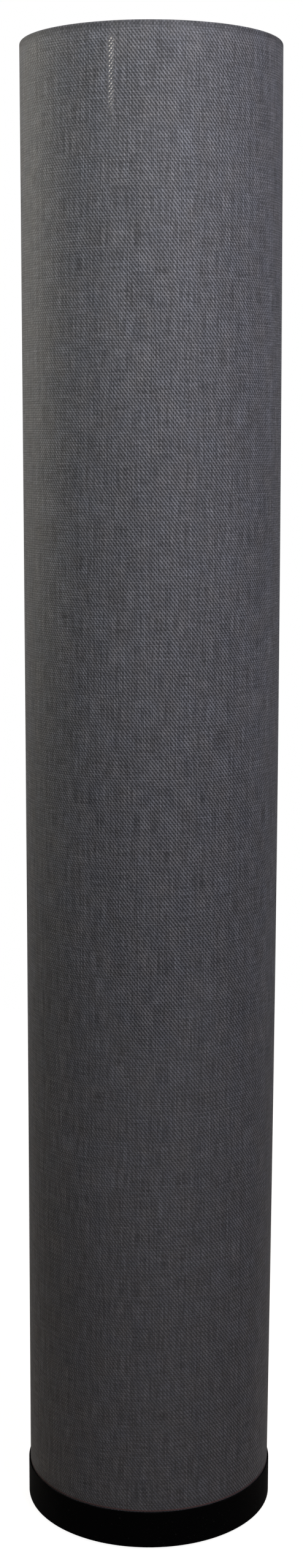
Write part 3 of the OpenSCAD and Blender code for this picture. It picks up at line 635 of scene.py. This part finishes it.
def sleeve_line(ring_r, low_z, top_z, roll_r):
    """The cloth's middle line in section: points (r, z), outward normals and the length up to each point."""
    points, normals = [], []
    for i in range(roll_rows):
        a = -roll_turn + roll_turn * i / roll_rows
        normals.append((math.cos(a), math.sin(a)))
        points.append((ring_r + roll_r * math.cos(a), low_z + roll_r * math.sin(a)))
    for i in range(straight_rows + 1):
        normals.append((1.0, 0.0))
        points.append((ring_r + roll_r, low_z + (top_z - low_z) * i / straight_rows))
    for i in range(1, roll_rows + 1):
        a = roll_turn * i / roll_rows
        normals.append((math.cos(a), math.sin(a)))
        points.append((ring_r + roll_r * math.cos(a), top_z + roll_r * math.sin(a)))
    points = np.array(points)
    steps = np.hypot(*np.diff(points, axis=0).T)
    return points, np.array(normals), np.concatenate([[0], np.cumsum(steps)])


def column_angles(seam, spokes, half_slit):
    """Angles of the mesh's columns, once round from the seam, with a column on each side of every slit."""
    angles = seam + np.linspace(0, 2 * math.pi, columns + 1)
    for spoke in spokes:
        for side in (-half_slit, half_slit):
            target = seam + (spoke + side - seam) % (2 * math.pi)
            angles[np.argmin(abs(angles - target))] = target
    return angles


def sleeve_mesh(name):
    """The closed shell of cloth, its length, its width with the lap, and where its straight part lies."""
    low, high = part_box("shade_fabric")
    wire_low, wire_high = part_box("bottom_ring")
    wire_r = (wire_high.z - wire_low.z) / 2
    ring_r = wire_high.x - wire_r
    low_z = wire_low.z + wire_r
    top_z = high.z - (wire_low.z + wire_r - low.z)
    roll_r = high.x - ring_r - cloth_t / 2
    line, normal, run = sleeve_line(ring_r, low_z, top_z, roll_r)
    spokes = [math.radians(back_degrees + 360 / spoke_count * i) for i in range(spoke_count)]
    seam = math.radians(back_degrees) + lap_width / 2 / high.x
    half_slit = slit_half / (ring_r - roll_r)
    angles = column_angles(seam, spokes, half_slit)

    # How far out each point lies from the true cylinder: the bow, and the lap over the seam.
    share = np.clip((line[:, 1] - low_z) / (top_z - low_z), 0, 1)
    bow = np.sin(math.pi * share)[None, :] * (bow_all_round + bow_to_right * np.cos(angles))[:, None]
    lap = lap_width / high.x
    past = angles - seam
    rise = np.where(past > 2 * math.pi - lap, 1.0, np.clip((past - 2 * math.pi + 2 * lap) / lap, 0, 1))
    calm = (np.clip((line[:, 1] - low_z) / flat_near_wires, 0, 1)
            * np.clip((top_z - line[:, 1]) / flat_near_wires, 0, 1))
    bow = bow + lap_rise * (rise * rise * (3 - 2 * rise))[:, None] * calm[None, :]

    # Two layers of points, the outer face of the cloth and the inner one.
    verts = []
    for offset in (cloth_t / 2, -cloth_t / 2):
        r = (line[:, 0] + offset * normal[:, 0])[None, :] + bow
        z = np.broadcast_to(line[:, 1] + offset * normal[:, 1], r.shape)
        turn = angles[:, None]
        verts.append(np.stack([r * np.cos(turn), r * np.sin(turn), z], -1))
    verts = np.stack(verts)
    rows = len(line)
    index = np.arange(2 * (columns + 1) * rows).reshape(2, columns + 1, rows)

    # The hem is cut away over each spoke.
    middle = (angles[1:] + angles[:-1]) / 2
    in_slit = np.zeros(columns, bool)
    for spoke in spokes:
        away = (middle - spoke + math.pi) % (2 * math.pi) - math.pi
        in_slit |= abs(away) < half_slit
    first_cut = 2 * roll_rows + straight_rows - round(roll_rows * (1 - slit_from / roll_turn))
    kept = np.ones((columns, rows - 1), bool)
    kept[in_slit, first_cut:] = False

    faces, uvs = [], []
    around = (angles - angles[0]) * (ring_r + roll_r)

    def add_face(corners):
        """corners: (layer, column, row). Columns count on past the last one for the lay of the weave."""
        faces.append([int(index[layer, column, row]) for layer, column, row in corners])
        uvs.extend((around[column], run[row]) for layer, column, row in corners)

    for c in range(columns):
        for r in range(rows - 1):
            if not kept[c, r]:
                continue
            add_face([(0, c, r), (0, c + 1, r), (0, c + 1, r + 1), (0, c, r + 1)])
            add_face([(1, c, r), (1, c, r + 1), (1, c + 1, r + 1), (1, c + 1, r)])
            if r == 0 or not kept[c, r - 1]:
                add_face([(0, c, r), (1, c, r), (1, c + 1, r), (0, c + 1, r)])
            if r == rows - 2 or not kept[c, r + 1]:
                add_face([(0, c, r + 1), (0, c + 1, r + 1), (1, c + 1, r + 1), (1, c, r + 1)])
            if not kept[c - 1, r]:
                add_face([(0, c, r), (0, c, r + 1), (1, c, r + 1), (1, c, r)])
            if not kept[(c + 1) % columns, r]:
                add_face([(0, c + 1, r), (1, c + 1, r), (1, c + 1, r + 1), (0, c + 1, r + 1)])
    for r in range(rows - 1):
        add_face([(0, columns, r), (0, 0, r), (0, 0, r + 1), (0, columns, r + 1)])
        add_face([(1, columns, r), (1, columns, r + 1), (1, 0, r + 1), (1, 0, r)])

    mesh = bpy.data.meshes.new(name)
    mesh.from_pydata(verts.reshape(-1, 3).tolist(), [], faces)
    layer = mesh.uv_layers.new(name="cloth")
    layer.data.foreach_set("uv", np.array(uvs, np.float32).ravel())
    welded = bmesh.new()
    welded.from_mesh(mesh)
    bmesh.ops.remove_doubles(welded, verts=welded.verts, dist=seam_gap)
    for face in welded.faces:
        face.smooth = True
    welded.to_mesh(mesh)
    welded.free()
    mesh.set_sharp_from_angle(angle=sharp_turn)
    return mesh, run[-1], around[-1] + lap_width, (run[roll_rows], run[roll_rows + straight_rows])


def make_weave_skin():
    """Plain weave of uneven yarns: a light dot on each crossing (lighter yarn and a painted highlight on its
    crown), gaps painted dark as shade, slubs and a mottled dye.
    """
    takes = {"Place": "Vector", "Warp Pitch": "Float", "Weft Pitch": "Float", "Yarn": "Color",
             "Light Yarn": "Color", "Gap": "Color", "Roughness": "Float", "Unevenness": "Float",
             "Doubled And Shaded": "Float", "Girth": "Float"}
    gives = {"Colour": "Color", "Roughness": "Float", "Height": "Float", "Opening": "Float"}
    group, given, result = new_skin("plain weave", takes, gives)
    place = given["Place"]

    def streaks(across, along, detail=1.0):
        """Cloudy noise with so many clouds to the metre round the sleeve, and up it."""
        factors = {0: place, 1: (across, along, 1.0)}
        stretched = add_node(group, "ShaderNodeVectorMath", factors, operation="MULTIPLY").outputs[0]
        return cloud(group, stretched, scale=1.0, detail=detail)

    def count_yarns(along, pitch, wander):
        """Counts the yarns up to a point, which wander a little: 12.5 is the middle of yarn 12."""
        shift = rescale(group, wander, 0.0, 1.0, -yarn_wander, yarn_wander)
        return maths(group, "ADD", maths(group, "DIVIDE", along, pitch), shift)

    def wave(part, kind):
        return maths(group, kind, maths(group, "MULTIPLY", part, math.pi))

    def draw_lots(across, along, table):
        """Three chances from 0 to 1 for each crossing."""
        spot = add_node(group, "ShaderNodeCombineXYZ", {0: across, 1: along, 2: table}).outputs[0]
        drawn = add_node(group, "ShaderNodeTexWhiteNoise", {"Vector": spot}, noise_dimensions="3D")
        return add_node(group, "ShaderNodeSeparateColor", {0: drawn.outputs["Color"]}).outputs

    def dye_lot(yarn):
        """Each yarn took the dye a little differently."""
        drawn = add_node(group, "ShaderNodeTexWhiteNoise", {"W": yarn}, noise_dimensions="1D")
        return rescale(group, drawn.outputs["Value"], 0.0, 1.0, -dye_spread, dye_spread)

    def slubs(across, along, steps):
        """Each yarn is lighter in some places and darker in others."""
        across = maths(group, "MULTIPLY", across, steps[0])
        along = maths(group, "MULTIPLY", along, steps[1])
        spot = add_node(group, "ShaderNodeCombineXYZ", {0: across, 1: along}).outputs[0]
        return rescale(group, cloud(group, spot, scale=1.0, detail=1.0), 0.3, 0.8, -0.1, 0.25)

    axes = add_node(group, "ShaderNodeSeparateXYZ", {0: place}).outputs
    across = count_yarns(axes["X"], given["Warp Pitch"], streaks(90, 30))
    along = count_yarns(axes["Y"], given["Weft Pitch"], streaks(30, 70))
    warp = maths(group, "FLOOR", across)
    weft = maths(group, "FLOOR", along)
    warp_round = wave(maths(group, "FRACT", across), "SINE")
    weft_round = wave(maths(group, "FRACT", along), "SINE")
    turn = maths(group, "FLOORED_MODULO", maths(group, "ADD", warp, weft), 2.0)
    is_warp = maths(group, "LESS_THAN", turn, 0.5)

    # The cloth is pulled tight over the front, where its gaps lie in quincunx, and is closer at the sides.
    around = maths(group, "SUBTRACT", maths(group, "DIVIDE", axes["X"], given["Girth"]), front_from_seam)
    pull = maths(group, "COSINE", maths(group, "MULTIPLY", around, 4 * math.pi))
    pull = maths(group, "ADD", maths(group, "MULTIPLY", pull, 0.5), streaks(40, 8, detail=2.0))
    stagger = rescale(group, pull, -0.1, 0.9, 0.4, 1.0)
    corner = maths(group, "MULTIPLY", wave(across, "COSINE"), wave(along, "COSINE"))
    near = draw_lots(maths(group, "ROUND", across), maths(group, "ROUND", along), 2.0)
    depth = mix_value(group, stagger, maths(group, "ABSOLUTE", corner), corner)
    shut = rescale(group, near[0], 0.0, 1.0, -0.5, -0.4)
    shut = mix_value(group, stagger, maths(group, "ADD", shut, 0.9), shut)
    shut = maths(group, "ADD", shut, given["Doubled And Shaded"])
    opening = rescale(group, maths(group, "SUBTRACT", depth, shut), 0.0, 1.4, 0.0, 1.0)

    # Each yarn has its own dye and slubs, and faint streaks run over the cloth both ways.
    warp_tone = maths(group, "ADD", dye_lot(warp), slubs(warp, axes["Y"], warp_slub_steps))
    weft_dye = dye_lot(maths(group, "ADD", weft, weft_lots_from))
    weft_tone = maths(group, "ADD", weft_dye, slubs(axes["X"], weft, weft_slub_steps))
    crossing = draw_lots(warp, weft, 1.0)
    upright = rescale(group, streaks(900, 45), 0.35, 0.75, -0.18, 0.46)
    level = rescale(group, streaks(60, 900), 0.35, 0.75, -0.14, 0.33)
    tone = mix_value(group, is_warp, weft_tone, warp_tone)
    tone = maths(group, "ADD", tone, maths(group, "ADD", upright, level))
    tone = maths(group, "ADD", tone, rescale(group, crossing[1], 0.0, 1.0, -0.04, 0.04))
    tone = maths(group, "MULTIPLY", tone, given["Unevenness"])
    # Each yarn is painted lighter on its crown and darker towards its edges: painted highlight and painted
    # shade of the weave's relief.
    height = maths(group, "MULTIPLY", warp_round, weft_round)
    crown_painted_light = rescale(group, height, 0.0, 1.0, 0.85, 1.2)
    lit = maths(group, "MULTIPLY", maths(group, "ADD", tone, 1.0), crown_painted_light)
    # Over the hems the colour is painted darker: painted shade along the rolled rims.
    lit = maths(group, "MULTIPLY", lit, rescale(group, given["Doubled And Shaded"], 0.0, 1.0, 1.0, hem_painted_shade))
    yarn = mix_colour(group, is_warp, given["Yarn"], given["Light Yarn"])
    slow = rescale(group, streaks(60, 45, detail=3.0), 0.3, 0.7, 0.0, 0.7)
    warmth = maths(group, "ADD", slow, maths(group, "MULTIPLY", crossing[2], 0.3))
    dye = mix_colour(group, warmth, cool_dye, warm_dye)
    colour = mix_colour(group, 1.0, shade_by(group, yarn, lit), dye, "MULTIPLY")
    # Where the weave opens, the colour is painted dark: painted shade on the film in the gaps.
    colour = mix_colour(group, opening, colour, given["Gap"])
    height = mix_value(group, opening, height, 0.0)
    seen_through = rescale(group, opening, 0.55, 0.8, 0.0, 1.0)
    return lead_out(group, result, Colour=colour, Roughness=given["Roughness"], Height=height,
                    Opening=seen_through)


def let_film_shine(material):
    """In the gaps of the weave the glossy film shows as a smooth coat. Seen aslant, the yarns hide it."""
    tree = material.node_tree
    shader = tree.nodes["Principled BSDF"]
    weave = shader.inputs["Base Color"].links[0].from_node
    aslant = add_node(tree, "ShaderNodeLayerWeight", {"Blend": 0.5}).outputs["Facing"]
    straight_in = rescale(tree, aslant, 0.1, 0.4, 1.0, 0.0)
    shine = maths(tree, "MULTIPLY", weave.outputs["Opening"], straight_in)
    tree.links.new(shine, shader.inputs["Coat Weight"])


def fold_and_shade_hems(material, low, high):
    """At both ends the cloth lies double and closed, and its colour is painted darker there as painted shade
    along the rolled rims. A line of brown glue ends the lower hem.
    """
    tree = material.node_tree
    shader = tree.nodes["Principled BSDF"]
    weave = shader.inputs["Base Color"].links[0].from_node
    spot = weave.inputs["Place"].links[0].from_socket
    along = add_node(tree, "ShaderNodeSeparateXYZ", {0: spot}).outputs["Y"]
    top = rescale(tree, along, high - top_hem, high - hem_fade, 0.0, 1.0)
    foot = rescale(tree, along, low + foot_hem - hem_fade, low + foot_hem, 1.0, 0.0)
    tree.links.new(maths(tree, "MAXIMUM", top, foot), weave.inputs["Doubled And Shaded"])
    off_line = maths(tree, "ABSOLUTE", maths(tree, "SUBTRACT", along, low + foot_hem))
    glue = rescale(tree, off_line, glue_width / 4, glue_width / 2, 1.0, 0.0)
    glued = mix_colour(tree, glue, weave.outputs["Colour"], glue_brown)
    tree.links.new(glued, shader.inputs["Base Color"])


cloth_mesh, cloth_length, cloth_width, cloth_straight = sleeve_mesh("shade_cloth")
cloth = bpy.data.objects.new("shade_cloth", cloth_mesh)
bpy.context.scene.collection.objects.link(cloth)
weave_skin = make_weave_skin()
weave_values = {"Warp Pitch": warp_pitch, "Weft Pitch": weft_pitch, "Yarn": dark_yarn,
                "Light Yarn": light_yarn, "Gap": gap_painted_shade, "Roughness": 0.62, "Unevenness": 1.15,
                "Girth": cloth_width - lap_width}
film_gloss = {"Specular IOR Level": 0.25, "Coat Roughness": 0.08, "Coat IOR": 1.6}
charcoal = finish("charcoal_weave", weave_skin, weave_values, relief=0.00008, plain=film_gloss, place="UV")
let_film_shine(charcoal)
fold_and_shade_hems(charcoal, *cloth_straight)
cloth_mesh.materials.append(charcoal)
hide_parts("shade_fabric")
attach(cloth, "shade")


# ---- Finial ----
# A turned steel knob screws down on the stud and holds the shade's hub. Its edge is ribbed for the fingers,
# and it is plated and polished like the stem.
knob_silver = (0.6, 0.6, 0.6, 1)
knob_ribs = 40
knob_rib_half = Vector((0.00055, 0.0004, 0.0024))
knob_rib_height = 0.0034
finial_values = {"Lines": turned, "Colour": knob_silver, "Roughness": 0.3, "Marks": 0.4}
finial_metal = finish("finial_steel", metal_skin, finial_values, turned_relief, {"Metallic": 1.0})
cover_with(finial_metal, "finial")
knob_low, knob_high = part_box("finial")
knob_middle = Vector((0, 0, knob_low.z + knob_rib_height))
stand_ribs("finial_ribs", "finial", "finial_metal",
           {"Count": knob_ribs, "Start": 0.0, "Radius": knob_high.x, "Lean": 0.0, "Material": finial_metal,
            "Centre": knob_middle, "Half Sizes": knob_rib_half})
